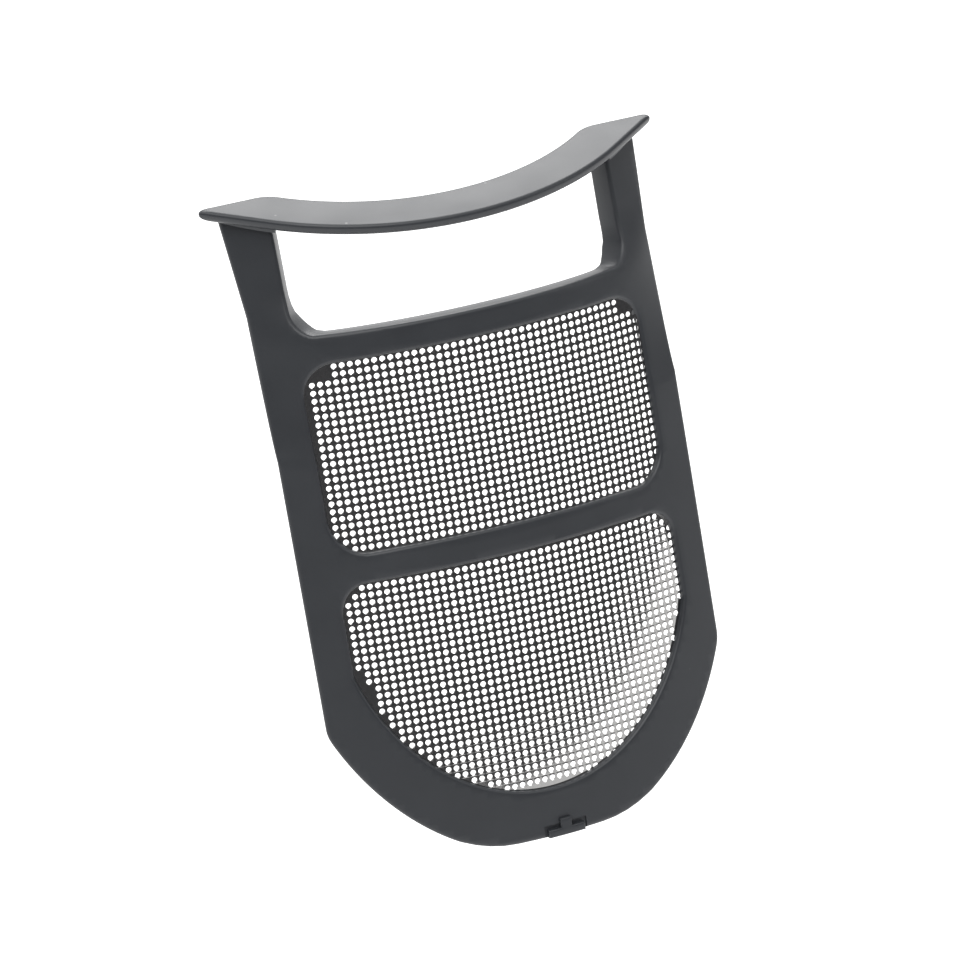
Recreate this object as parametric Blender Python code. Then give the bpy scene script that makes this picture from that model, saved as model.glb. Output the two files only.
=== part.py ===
"""Limescale filter for a kettle spout.

A moulded frame stands in the spout and follows the kettle's conical wall. It has two stiles, a cross bar,
a rounded foot with a snap catch, and a flat crescent-shaped finger plate across its top. A perforated steel
sheet is seated in a slot all round the two windows.

The frame and the sheet are drawn flat, in front elevation, and then wrapped on to the cone, so that every
wall stands square to the curved face. The drawing is in millimetres; the finished solids are in metres.

Frame of the part: X to the side, +Y towards the inside of the kettle, +Z up. The origin is the middle of the
finger plate's top face, on the plane of symmetry.
"""

import math

import bmesh
import bpy
from mathutils import Matrix, Vector

METRES_PER_MM = 0.001

# Conical wall that the frame follows, measured at the level of the finger plate's top face, and how far the
# middle of its front would stand forward of the origin there.
CONE_RADIUS = 43.69
CONE_HALF_ANGLE = 21.75
WALL_REACH = 1.39

# Moulded wall and its edges; the stiles thin towards the plate.
WALL = 3.0
WALL_AT_PLATE = 2.75
EDGE_ROUND = 0.35

# Width of the frame beside the windows; the stiles flare a little from below the sill up to the plate.
HALF_WIDTH = 26.7
FLARE = 1.1
FLARE_HEIGHT = 12.5

# Finger opening between the stiles, above the top bar.
STILE_AT_OPENING = 4.65
SILL_DEPTH = 12.2
SILL_ROUND = 1.9

# The two windows, the bars over and between them, and the band round the foot.
STILE_AT_WINDOW = 4.35
TOP_BAR = 2.8
UPPER_WINDOW = 22.4
CROSS_BAR = 3.0
LOWER_WINDOW = 29.1
FOOT_BAND = 5.85
WINDOW_TOP_ROUND = 5.0
WINDOW_ROUND = 4.0
WINDOW_ARC_EXTRA = 1.1

# Foot: an arc, a little wider than the sides, that is cut off by a short flat.
FOOT_ARC_EXTRA = 2.95
FOOT_FLAT_HALF = 9.45
FOOT_SIDE_ROUND = 3.5
FOOT_FLAT_ROUND = 18.0

# The outer edges of the stiles roll back from the cone, from nothing beside the upper window to the most at
# the plate, where each stile's front stands under the plate by a set amount. Beside the windows only the edge
# rolls back; above the sill nearly the whole stile does.
STILE_UNDER_PLATE = 1.9
ROLL_START_DEPTH = 27.7
ROLL_RISE = 0.6
ROLL_SPREAD = 5.0
ROLL_SPREAD_AT_PLATE = 0.7
ROLL_BLEND = 6.0

# Finger plate, in plan. Its finger cut-out is curved more tightly than its front.
PLATE_THICKNESS = 1.65
PLATE_TOP_ROUND = 0.4
PLATE_UNDER_ROUND = 0.95
PLATE_FRONT_RADIUS = 39.2
PLATE_FRONT_REACH = 2.6
PLATE_BAND = 5.75
PLATE_CUT_TIGHTER = 7.3
PLATE_TIP_REACH = 3.0
PLATE_RUN_OUT = 6.75
PLATE_TIP_ROUND = 0.5
PLATE_CORNER_ROUND = 4.5
PLATE_CORNER_MARGIN = 0.3
STILE_IN_PLATE = 0.7
HEAD_SLOPE = 50.0

# Thin seat under each end of the plate, over the stile.
SEAT_STEP = 0.35
SEAT_INSET = 0.55

# Snap catch in its pocket at the foot.
CATCH_OFFSET = 0.65
CATCH_WIDTH = 4.9
CATCH_HEIGHT = 0.95
CATCH_PROUD = 0.5
CATCH_ROUND = 0.12
STEM_WIDTH = 1.5
STEM_HEIGHT = 1.1
POCKET_GAP = 0.4
POCKET_DEPTH = 0.6
POCKET_ABOVE = 0.5

# Perforated sheet and the slot that holds it.
SHEET_THICKNESS = 0.3
SHEET_SETBACK = 0.75
SHEET_LAP = 1.4
SHEET_CORNER_ROUND = 3.0
SEAT_CLEARANCE = 0.3
SEAT_LIP = 0.45
HOLE_PITCH = 4.1
HOLE_DIAMETER = 2.9
HOLE_SIDES = 8
HOLE_MARGIN = 0.25

# How finely round edges and the curved face are divided.
ARC_STEP = 2.0
STRIP_WIDTH = 3.2
STRIP_HEIGHT = 14.0
FLAT_ANGLE = 0.001
CORNER_STEP = math.radians(20.0)
TIP_STEPS = 6
RIM_STEPS = 3
SAME_POINT = 0.0001
SAME_PLANE = 0.001
SHORTEST_EDGE = 0.002
SHARP_ANGLE = 30.0

SIN_HALF_ANGLE = math.sin(math.radians(CONE_HALF_ANGLE))
COS_HALF_ANGLE = math.cos(math.radians(CONE_HALF_ANGLE))
TAN_HALF_ANGLE = math.tan(math.radians(CONE_HALF_ANGLE))
CONE_AXIS_BEHIND = CONE_RADIUS - WALL_REACH

HALF_WIDTH_AT_PLATE = HALF_WIDTH + FLARE
OPENING_HALF_WIDTH = HALF_WIDTH - STILE_AT_OPENING
WINDOW_HALF_WIDTH = HALF_WIDTH - STILE_AT_WINDOW
WINDOW_TOP_DEPTH = SILL_DEPTH + TOP_BAR
WINDOW_BOTTOM_DEPTH = WINDOW_TOP_DEPTH + UPPER_WINDOW
LOWER_TOP_DEPTH = WINDOW_BOTTOM_DEPTH + CROSS_BAR
LOWER_BOTTOM_DEPTH = LOWER_TOP_DEPTH + LOWER_WINDOW
LOWER_ARC_RADIUS = WINDOW_HALF_WIDTH + WINDOW_ARC_EXTRA
LOWER_ARC_DEPTH = LOWER_BOTTOM_DEPTH - LOWER_ARC_RADIUS
FOOT_DEPTH = LOWER_BOTTOM_DEPTH + FOOT_BAND
FOOT_ARC_RADIUS = HALF_WIDTH + FOOT_ARC_EXTRA
FOOT_ARC_DEPTH = FOOT_DEPTH - math.sqrt(FOOT_ARC_RADIUS ** 2 - FOOT_FLAT_HALF ** 2)
PLATE_FRONT_CENTRE = PLATE_FRONT_RADIUS - PLATE_FRONT_REACH
PLATE_CUT_RADIUS = PLATE_FRONT_RADIUS - PLATE_CUT_TIGHTER
PLATE_CUT_CENTRE = PLATE_BAND - PLATE_FRONT_REACH + PLATE_CUT_RADIUS
PLATE_TIP = HALF_WIDTH_AT_PLATE + PLATE_TIP_REACH
PLATE_FRONT_ARC = PLATE_TIP - PLATE_RUN_OUT
PLATE_FRONT_TURN = math.asin(PLATE_FRONT_ARC / PLATE_FRONT_RADIUS)
PLATE_BACK = (
    PLATE_FRONT_CENTRE
    - PLATE_FRONT_RADIUS * math.cos(PLATE_FRONT_TURN)
    + PLATE_RUN_OUT * math.tan(PLATE_FRONT_TURN)
)
STILE_MIDDLE = (OPENING_HALF_WIDTH + HALF_WIDTH) / 2
STILE_ON_CONE = CONE_AXIS_BEHIND - math.sqrt(CONE_RADIUS ** 2 - STILE_MIDDLE ** 2)
ROLL_AT_STILE = (STILE_MIDDLE / HALF_WIDTH) ** ROLL_SPREAD_AT_PLATE
ROLL_BACK = (PLATE_BACK - STILE_UNDER_PLATE - STILE_ON_CONE) / ROLL_AT_STILE


def clear_scene():
    """Remove every object, so that the script can be run again in the same file."""
    for item in list(bpy.data.objects):
        bpy.data.objects.remove(item, do_unlink=True)


def make_material(name, colour, roughness, metallic):
    """Return a plain material with the sub-part's colour and gloss."""
    material = bpy.data.materials.new(name)
    material.use_nodes = True
    shader = material.node_tree.nodes["Principled BSDF"]
    shader.inputs["Base Color"].default_value = (*colour, 1.0)
    shader.inputs["Roughness"].default_value = roughness
    shader.inputs["Metallic"].default_value = metallic
    return material


def arc(centre_x, centre_y, radius, start, end, count=0):
    """Return points on an arc from one angle to another, both in radians, about ARC_STEP apart."""
    count = count or max(2, math.ceil(abs(end - start) * radius / ARC_STEP))
    points = []
    for step in range(count + 1):
        angle = start + (end - start) * step / count
        points.append((centre_x + radius * math.cos(angle), centre_y + radius * math.sin(angle)))
    return points


def turn_at(corners, index):
    """Return the directions to a corner's two neighbours, and by how much the outline turns there."""
    corner = Vector(corners[index][:2])
    before = (Vector(corners[index - 1][:2]) - corner).normalized()
    after = (Vector(corners[(index + 1) % len(corners)][:2]) - corner).normalized()
    return before, after, math.pi - before.angle(after)


def clear_of_fillets(corners):
    """Leave out the plain points beside a rounded corner that lie within reach of its fillet."""
    kept = list(corners)
    for corner in [each for each in corners if each[2] > 0.0]:
        covered = [corner]
        while covered:
            place = kept.index(corner)
            reach = corner[2] * math.tan(turn_at(kept, place)[2] / 2)
            beside = [kept[place - 1], kept[(place + 1) % len(kept)]]
            covered = [each for each in beside if each[2] <= 0.0 and math.dist(each[:2], corner[:2]) < reach]
            kept = [each for each in kept if each not in covered]
    return kept


def round_corners(corners, count=0):
    """Turn corners (x, y, radius) into an outline in which each one with a radius becomes an arc."""
    corners = clear_of_fillets(corners)
    outline = []
    for index, (x, y, radius) in enumerate(corners):
        before, after, turn = turn_at(corners, index)
        if radius <= 0.0 or turn < FLAT_ANGLE:
            outline.append((x, y))
            continue
        corner = Vector((x, y))
        tangent = radius * math.tan(turn / 2)
        start = corner + before * tangent
        end = corner + after * tangent
        centre = corner + (before + after).normalized() * math.hypot(radius, tangent)
        steps = count or max(2, math.ceil(turn / CORNER_STEP))
        for step in range(steps + 1):
            blend = step / steps
            weight = math.sin(turn * (1 - blend)) / math.sin(turn), math.sin(turn * blend) / math.sin(turn)
            point = centre + (start - centre) * weight[0] + (end - centre) * weight[1]
            outline.append((point.x, point.y))
    return outline


def cone_radius(height):
    """Return the radius of the frame's front face at a height of the drawing."""
    return CONE_RADIUS - height * TAN_HALF_ANGLE


def row_height(x, middle_height):
    """Return the height at which a straight row of the unrolled cone, level in the middle, passes x."""
    slant = cone_radius(middle_height) / SIN_HALF_ANGLE
    height = middle_height
    for _ in range(6):
        turn = math.asin(x / cone_radius(height)) * SIN_HALF_ANGLE
        height = (CONE_RADIUS - slant * SIN_HALF_ANGLE / math.cos(turn)) / TAN_HALF_ANGLE
    return height


def row_points(x_from, x_to, middle_height):
    """Return points along one straight row of the unrolled cone, without its two ends."""
    count = max(2, math.ceil(abs(x_to - x_from) / (2 * ARC_STEP)))
    columns = [x_from + (x_to - x_from) * step / count for step in range(1, count)]
    return [(x, row_height(x, middle_height), 0.0) for x in columns]


def roll_back(x, height):
    """Return how far the face lies back of the cone at a place of the drawing."""
    rise = max(0.0, (height + ROLL_START_DEPTH) / ROLL_START_DEPTH)
    blend = min(1.0, max(0.0, (height + WINDOW_TOP_DEPTH) / ROLL_BLEND))
    blend = blend * blend * (3.0 - 2.0 * blend)
    spread = ROLL_SPREAD + (ROLL_SPREAD_AT_PLATE - ROLL_SPREAD) * blend
    return ROLL_BACK * rise ** ROLL_RISE * abs(x / HALF_WIDTH) ** spread


def wall_point(x, depth, height):
    """Wrap one point of the flat drawing, at a depth behind the front face, on to the conical wall."""
    front_radius = cone_radius(height)
    angle = math.asin(x / front_radius)
    head = max(0.0, 1.0 + height / SILL_DEPTH)
    depth -= depth * head * (1.0 - WALL_AT_PLATE / WALL)
    radius = front_radius - depth * COS_HALF_ANGLE
    y = CONE_AXIS_BEHIND - radius * math.cos(angle) + roll_back(x, height)
    return Vector((radius * math.sin(angle), y, height - depth * SIN_HALF_ANGLE))


def evaluated_mesh(item):
    """Return a new mesh with the object's curve or modifiers worked out."""
    graph = bpy.context.evaluated_depsgraph_get()
    return bpy.data.meshes.new_from_object(item.evaluated_get(graph))


def add_object(name, data):
    """Link a mesh or curve to the scene as a new object."""
    item = bpy.data.objects.new(name, data)
    bpy.context.scene.collection.objects.link(item)
    return item


def flat_solid(name, outlines, thickness, edge_round=0.0):
    """Extrude a drawing with holes into a slab with rounded edges, centred on its own XY plane.

    The first outline runs counter-clockwise and the holes run clockwise, so that the rounding, which a curve
    adds outside its line, is taken back inside on all of them.
    """
    curve = bpy.data.curves.new(name, "CURVE")
    curve.dimensions = "2D"
    curve.fill_mode = "BOTH"
    curve.extrude = thickness / 2 - edge_round
    curve.bevel_depth = edge_round
    curve.bevel_resolution = 1
    curve.offset = -edge_round
    for number, outline in enumerate(outlines):
        area = sum(a[0] * b[1] - b[0] * a[1] for a, b in zip(outline, outline[1:] + outline[:1]))
        if (area > 0) == (number > 0):
            outline = outline[::-1]
        spline = curve.splines.new("POLY")
        spline.points.add(len(outline) - 1)
        for point, (x, y) in zip(spline.points, outline):
            point.co = (x, y, 0.0, 1.0)
        spline.use_cyclic_u = True
    drawing = add_object(name, curve)
    mesh = evaluated_mesh(drawing)
    bpy.data.objects.remove(drawing, do_unlink=True)
    solid = add_object(name, mesh)
    work = bmesh.new()
    work.from_mesh(mesh)
    bmesh.ops.remove_doubles(work, verts=work.verts, dist=SAME_POINT)
    bmesh.ops.recalc_face_normals(work, faces=work.faces)
    work.to_mesh(mesh)
    work.free()
    return solid


def stand_up(solid, front_depth, thickness):
    """Turn a flat slab to face the front, with its front face at a depth behind the frame's front face."""
    turn = Matrix(((1, 0, 0, 0), (0, 0, -1, front_depth + thickness / 2), (0, 1, 0, 0), (0, 0, 0, 1)))
    solid.data.transform(turn)
    return solid


def combine(solid, operation, other):
    """Cut with, or join, another solid and keep the result as the first one's mesh."""
    other.hide_render = True
    other.display_type = "WIRE"
    modifier = solid.modifiers.new(operation.lower(), "BOOLEAN")
    modifier.operation = operation
    modifier.object = other
    modifier.solver = "EXACT"
    mesh = evaluated_mesh(solid)
    solid.modifiers.clear()
    solid.data = mesh
    bpy.data.objects.remove(other, do_unlink=True)


def split_along(work, axis, spacing, offset=0.0):
    """Divide a mesh by parallel planes square to one axis, so that its facets can follow a curve."""
    low = min(vertex.co[axis] for vertex in work.verts)
    high = max(vertex.co[axis] for vertex in work.verts)
    normal = Vector((0.0, 0.0, 0.0))
    normal[axis] = 1.0
    for step in range(math.ceil((low - offset) / spacing), math.floor((high - offset) / spacing) + 1):
        parts = work.verts[:] + work.edges[:] + work.faces[:]
        place = normal * (offset + step * spacing)
        bmesh.ops.bisect_plane(work, geom=parts, plane_co=place, plane_no=normal, dist=SAME_PLANE)


def wrap_on_cone(solid, strip_width, offset=0.0):
    """Divide a flat solid into strips, the first one at an offset, and wrap it on to the conical wall."""
    work = bmesh.new()
    work.from_mesh(solid.data)
    bmesh.ops.dissolve_limit(work, angle_limit=FLAT_ANGLE, verts=work.verts, edges=work.edges)
    split_along(work, 0, strip_width, offset)
    split_along(work, 2, STRIP_HEIGHT)
    bmesh.ops.triangulate(work, faces=work.faces)
    for vertex in work.verts:
        vertex.co = wall_point(vertex.co.x, vertex.co.y, vertex.co.z)
    work.to_mesh(solid.data)
    work.free()


def finish(solid, material):
    """Scale a solid to metres, clean it, shade its round faces smooth and give it its material."""
    work = bmesh.new()
    work.from_mesh(solid.data)
    bmesh.ops.remove_doubles(work, verts=work.verts, dist=SHORTEST_EDGE)
    bmesh.ops.dissolve_degenerate(work, edges=work.edges, dist=SAME_PLANE)
    bmesh.ops.triangulate(work, faces=work.faces)
    bmesh.ops.scale(work, vec=Vector((METRES_PER_MM,) * 3), verts=work.verts)
    work.to_mesh(solid.data)
    work.free()
    solid.data.materials.clear()
    solid.data.materials.append(material)
    solid.data.shade_smooth()
    solid.data.set_sharp_from_angle(angle=math.radians(SHARP_ANGLE))


def frame_outline():
    """Return the frame's outer outline with the finger opening as a notch between the stiles."""
    top = -STILE_IN_PLATE
    flare = FLARE / FLARE_HEIGHT
    side_drop = math.sqrt(FOOT_ARC_RADIUS ** 2 - HALF_WIDTH ** 2)
    foot_start = math.atan2(FOOT_ARC_DEPTH - FOOT_DEPTH, FOOT_FLAT_HALF)
    foot_end = math.atan2(-side_drop, HALF_WIDTH)
    foot = arc(0.0, -FOOT_ARC_DEPTH, FOOT_ARC_RADIUS, foot_start, foot_end)
    right = [(foot[0][0], foot[0][1], FOOT_FLAT_ROUND)]
    right += [(x, y, 0.0) for x, y in foot[1:-1]]
    right += [(foot[-1][0], foot[-1][1], FOOT_SIDE_ROUND)]
    right += [(HALF_WIDTH, -FLARE_HEIGHT, 0.0)]
    right += [(HALF_WIDTH_AT_PLATE + flare * top, top, 0.0), (OPENING_HALF_WIDTH, top, 0.0)]
    right += [(OPENING_HALF_WIDTH, row_height(OPENING_HALF_WIDTH, -SILL_DEPTH), SILL_ROUND)]
    sill_end = OPENING_HALF_WIDTH - 2 * SILL_ROUND
    sill = [(sill_end, row_height(sill_end, -SILL_DEPTH), 0.0)]
    sill += row_points(sill_end, -sill_end, -SILL_DEPTH)
    sill += [(-sill_end, row_height(sill_end, -SILL_DEPTH), 0.0)]
    left = [(-x, y, radius) for x, y, radius in reversed(right)]
    return round_corners(right + sill + left)


def upper_window():
    """Return the upper window's outline, level with the sheet's rows of holes."""
    half = WINDOW_HALF_WIDTH
    top = -WINDOW_TOP_DEPTH
    bottom = -WINDOW_BOTTOM_DEPTH
    inner_top = half - 2 * WINDOW_TOP_ROUND
    inner_bottom = half - 2 * WINDOW_ROUND
    corners = [(half, row_height(half, top), WINDOW_TOP_ROUND), (inner_top, row_height(inner_top, top), 0.0)]
    corners += row_points(inner_top, -inner_top, top)
    corners += [(-inner_top, row_height(inner_top, top), 0.0), (-half, row_height(half, top), WINDOW_TOP_ROUND)]
    corners += [(-half, row_height(half, bottom), WINDOW_ROUND), (-inner_bottom, row_height(inner_bottom, bottom), 0.0)]
    corners += row_points(-inner_bottom, inner_bottom, bottom)
    corners += [(inner_bottom, row_height(inner_bottom, bottom), 0.0), (half, row_height(half, bottom), WINDOW_ROUND)]
    return round_corners(corners)


def bowl_outline(half, top, arc_radius, top_round):
    """Return an outline with a level top, straight sides and a round bottom about the lower window's centre."""
    inner = half - 2 * top_round
    corner = math.atan2(-math.sqrt(arc_radius ** 2 - half ** 2), half)
    bottom = arc(0.0, -LOWER_ARC_DEPTH, arc_radius, -math.pi - corner, corner)
    corners = [(half, row_height(half, top), top_round), (inner, row_height(inner, top), 0.0)]
    corners += row_points(inner, -inner, top)
    corners += [(-inner, row_height(inner, top), 0.0), (-half, row_height(half, top), top_round)]
    corners += [(x, y, 0.0) for x, y in bottom]
    return round_corners(corners)


def lower_window():
    """Return the lower window's outline."""
    return bowl_outline(WINDOW_HALF_WIDTH, -LOWER_TOP_DEPTH, LOWER_ARC_RADIUS, WINDOW_ROUND)


def sheet_blank(grow=0.0):
    """Return the outline of the sheet, or of the slot round it, which laps behind both windows."""
    lap = SHEET_LAP + grow
    return bowl_outline(WINDOW_HALF_WIDTH + lap, -WINDOW_TOP_DEPTH + lap, LOWER_ARC_RADIUS + lap, SHEET_CORNER_ROUND)


def rear_recess():
    """Return the outline of the recess in the frame's back, which leaves a thin lip behind the sheet's edge."""
    step = SHEET_LAP + SEAT_CLEARANCE
    return bowl_outline(WINDOW_HALF_WIDTH + step, -WINDOW_TOP_DEPTH + step, LOWER_ARC_RADIUS + step, SHEET_CORNER_ROUND)


def rectangle(x_low, x_high, y_low, y_high):
    """Return a rectangle's outline."""
    return [(x_low, y_low), (x_high, y_low), (x_high, y_high), (x_low, y_high)]


def plate_outline(inset):
    """Return the crescent-shaped plate in plan: round front, finger cut-out at the back, a tip at each side.

    The front's arc runs out straight to the tips, and the cut-out's arc ends short of its rounded corners.
    Every inset gives the same number of points.
    """
    reach = PLATE_FRONT_TURN
    front_count = math.ceil(2 * reach * PLATE_FRONT_RADIUS / ARC_STEP)
    front_radius = PLATE_FRONT_RADIUS - inset
    front = arc(0.0, PLATE_FRONT_CENTRE, front_radius, -math.pi / 2 - reach, -math.pi / 2 + reach, front_count)
    back = PLATE_BACK - inset
    tip_x = front[-1][0] + (back - front[-1][1]) / math.tan(reach)
    cut_radius = PLATE_CUT_RADIUS + inset
    cut_half = math.acos((PLATE_CUT_CENTRE - back) / cut_radius)
    cut_corner = cut_radius * math.sin(cut_half)
    corner_reach = PLATE_CORNER_ROUND * math.tan(cut_half / 2) + PLATE_CORNER_MARGIN
    clear_half = cut_half - corner_reach / cut_radius
    cut_count = math.ceil(PLATE_FRONT_ARC * 2 / ARC_STEP)
    cut = arc(0.0, PLATE_CUT_CENTRE, cut_radius, -math.pi / 2 + clear_half, -math.pi / 2 - clear_half, cut_count)
    corners = [(x, y, 0.0) for x, y in front]
    corners += [(tip_x, back, PLATE_TIP_ROUND), (cut_corner, back, PLATE_CORNER_ROUND)]
    corners += [(x, y, 0.0) for x, y in cut]
    corners += [(-cut_corner, back, PLATE_CORNER_ROUND), (-tip_x, back, PLATE_TIP_ROUND)]
    return round_corners(corners, TIP_STEPS)


def build_plate():
    """Return the finger plate, lofted through outlines that follow its small upper and full lower rounding."""
    rings = []
    for step in range(RIM_STEPS + 1):
        turn = math.pi / 2 * step / RIM_STEPS
        rings.append((PLATE_TOP_ROUND * (1 - math.sin(turn)), -PLATE_TOP_ROUND * (1 - math.cos(turn))))
    for step in range(RIM_STEPS + 2):
        turn = math.pi / 2 * step / (RIM_STEPS + 1)
        height = -PLATE_THICKNESS + PLATE_UNDER_ROUND * (1 - math.sin(turn))
        rings.append((PLATE_UNDER_ROUND * (1 - math.cos(turn)), height))
    work = bmesh.new()
    loops = []
    for inset, height in rings:
        loops.append([work.verts.new((x, y, height)) for x, y in plate_outline(inset)])
    work.faces.new(loops[0])
    work.faces.new(loops[-1][::-1])
    for upper, lower in zip(loops, loops[1:]):
        for index in range(len(upper)):
            work.faces.new((upper[index - 1], lower[index - 1], lower[index], upper[index]))
    bmesh.ops.recalc_face_normals(work, faces=work.faces)
    bmesh.ops.triangulate(work, faces=work.faces)
    mesh = bpy.data.meshes.new("plate")
    work.to_mesh(mesh)
    work.free()
    return add_object("plate", mesh)


def plate_seats():
    """Return the two thin seats under the ends of the plate, one over each stile."""
    inner_x = OPENING_HALF_WIDTH
    radius = PLATE_FRONT_RADIUS - SEAT_INSET
    back = PLATE_BACK - SEAT_INSET
    start = -math.acos(inner_x / radius)
    end = -math.asin((PLATE_FRONT_CENTRE - back) / radius)
    front = arc(0.0, PLATE_FRONT_CENTRE, radius, start, end)
    outline = front + [(inner_x, back)]
    thickness = SEAT_STEP + PLATE_THICKNESS / 2
    seats = []
    for side in (1, -1):
        seat = flat_solid("seat", [[(side * x, y) for x, y in outline]], thickness)
        seat.data.transform(Matrix.Translation((0.0, 0.0, -PLATE_THICKNESS - SEAT_STEP + thickness / 2)))
        seats.append(seat)
    return seats


def cut_catch_pocket(frame):
    """Cut the pocket round the snap catch, open at the foot's lower edge."""
    half = CATCH_WIDTH / 2 + POCKET_GAP
    low = -FOOT_DEPTH - WALL
    high = -FOOT_DEPTH + CATCH_HEIGHT + POCKET_ABOVE
    thickness = POCKET_DEPTH + WALL
    pocket = flat_solid("pocket", [rectangle(CATCH_OFFSET - half, CATCH_OFFSET + half, low, high)], thickness)
    combine(frame, "DIFFERENCE", stand_up(pocket, -WALL, thickness))


def add_catch(frame):
    """Stand the snap catch, a bar on a short stem, in its pocket and join it to the frame."""
    low = -FOOT_DEPTH
    bar_top = low + CATCH_HEIGHT
    stem_top = bar_top + STEM_HEIGHT
    bar = CATCH_WIDTH / 2
    stem = STEM_WIDTH / 2
    shape = [(-bar, low), (bar, low), (bar, bar_top), (stem, bar_top), (stem, stem_top)]
    shape += [(-stem, stem_top), (-stem, bar_top), (-bar, bar_top)]
    outline = [(CATCH_OFFSET + x, y) for x, y in shape]
    thickness = CATCH_PROUD + POCKET_DEPTH + EDGE_ROUND
    catch = flat_solid("catch", [outline], thickness, CATCH_ROUND)
    combine(frame, "UNION", stand_up(catch, -CATCH_PROUD, thickness))


def slope_stile_heads(frame):
    """Slope the stiles' heads down behind the plate's back edge, where the plate doesn't cover them."""
    start_y = PLATE_BACK - PLATE_UNDER_ROUND / 2
    start_z = -PLATE_THICKNESS + STILE_IN_PLATE / 2
    run = 2 * WALL + ROLL_BACK
    drop = run * math.tan(math.radians(HEAD_SLOPE))
    profile = [(start_y, start_z), (start_y + run, start_z - drop), (start_y + run, WALL), (start_y, WALL)]
    width = 4 * HALF_WIDTH
    wedge = flat_solid("wedge", [profile], width)
    wedge.data.transform(Matrix(((0, 0, 1, 0), (1, 0, 0, 0), (0, 1, 0, 0), (0, 0, 0, 1))))
    combine(frame, "DIFFERENCE", wedge)


def build_frame(material):
    """Build the moulded frame in one piece, with its slot, catch and finger plate."""
    outlines = [frame_outline(), upper_window(), lower_window()]
    frame = stand_up(flat_solid("frame", outlines, WALL, EDGE_ROUND), 0.0, WALL)
    slot_thickness = SHEET_THICKNESS + 2 * SEAT_CLEARANCE
    slot = flat_solid("slot", [sheet_blank(SEAT_CLEARANCE)], slot_thickness)
    combine(frame, "DIFFERENCE", stand_up(slot, SHEET_SETBACK - SEAT_CLEARANCE, slot_thickness))
    recess_depth = SHEET_SETBACK + SHEET_THICKNESS + SEAT_CLEARANCE + SEAT_LIP
    recess = flat_solid("recess", [rear_recess()], WALL)
    combine(frame, "DIFFERENCE", stand_up(recess, recess_depth, WALL))
    cut_catch_pocket(frame)
    add_catch(frame)
    wrap_on_cone(frame, STRIP_WIDTH)
    slope_stile_heads(frame)
    for seat in plate_seats():
        combine(frame, "UNION", seat)
    combine(frame, "UNION", build_plate())
    finish(frame, material)
    return frame


def hole_centres():
    """Return the centres of the sheet's holes in rows that lie straight on the unrolled sheet."""
    reach = HOLE_DIAMETER / 2 + HOLE_MARGIN
    columns = math.floor((WINDOW_HALF_WIDTH - reach) / HOLE_PITCH)
    rows_upper = math.floor((UPPER_WINDOW - 2 * reach) / HOLE_PITCH) + 1
    upper_middle = (WINDOW_TOP_DEPTH + WINDOW_BOTTOM_DEPTH) / 2
    heights = [-upper_middle + (row - (rows_upper - 1) / 2) * HOLE_PITCH for row in range(rows_upper)]
    rows_lower = math.floor((LOWER_BOTTOM_DEPTH - LOWER_TOP_DEPTH - 2 * reach) / HOLE_PITCH) + 1
    heights += [-LOWER_TOP_DEPTH - reach - row * HOLE_PITCH for row in range(rows_lower)]
    centres = []
    for middle_height in heights:
        for column in range(-columns, columns + 1):
            x = column * HOLE_PITCH
            height = row_height(x, middle_height)
            below = max(0.0, -LOWER_ARC_DEPTH - height)
            if math.hypot(x, below) <= LOWER_ARC_RADIUS - reach:
                centres.append((x, height))
    return centres


def build_sheet(material):
    """Build the perforated sheet that is seated in the frame's slot."""
    radius = HOLE_DIAMETER / 2
    outlines = [sheet_blank()]
    for x, height in hole_centres():
        angles = [2 * math.pi * (side + 0.5) / HOLE_SIDES for side in range(HOLE_SIDES)]
        outlines.append([(x + radius * math.cos(a), height + radius * math.sin(a)) for a in angles])
    sheet = stand_up(flat_solid("sheet", outlines, SHEET_THICKNESS), SHEET_SETBACK, SHEET_THICKNESS)
    wrap_on_cone(sheet, HOLE_PITCH, HOLE_PITCH / 2)
    finish(sheet, material)
    return sheet


def main():
    """Build the two sub-parts of the filter."""
    clear_scene()
    plastic = make_material("dark_grey_plastic", (0.055, 0.058, 0.063), 0.42, 0.0)
    steel = make_material("perforated_steel", (0.32, 0.31, 0.30), 0.3, 1.0)
    frame = build_frame(plastic)
    frame.name = "moulded_frame"
    sheet = build_sheet(steel)
    sheet.name = "perforated_sheet"


main()
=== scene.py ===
"""Looks of a kettle's limescale filter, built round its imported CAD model.

The moulded frame and the perforated steel sheet are drawn flat, in front elevation, and wrapped on to the
cone of the kettle's spout. Sizes are in millimetres, and the finished meshes are in metres.
"""

import logging
import math
from collections.abc import Callable
from dataclasses import dataclass, field, replace
from enum import Enum

import bpy
from mathutils import Matrix, Vector


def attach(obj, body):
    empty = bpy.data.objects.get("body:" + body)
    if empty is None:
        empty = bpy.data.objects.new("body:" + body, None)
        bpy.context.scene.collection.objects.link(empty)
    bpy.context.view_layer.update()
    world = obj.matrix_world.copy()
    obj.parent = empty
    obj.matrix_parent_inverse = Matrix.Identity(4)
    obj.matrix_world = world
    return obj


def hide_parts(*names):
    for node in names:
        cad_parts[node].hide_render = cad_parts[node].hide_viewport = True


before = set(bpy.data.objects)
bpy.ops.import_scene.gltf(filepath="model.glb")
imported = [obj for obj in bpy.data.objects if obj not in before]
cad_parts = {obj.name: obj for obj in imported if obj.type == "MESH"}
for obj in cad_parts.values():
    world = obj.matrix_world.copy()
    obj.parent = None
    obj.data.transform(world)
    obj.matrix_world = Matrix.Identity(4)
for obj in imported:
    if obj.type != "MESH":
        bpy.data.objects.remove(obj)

MM = 0.001
BODY = "root"
LOG = logging.getLogger("limescale_filter")

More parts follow.
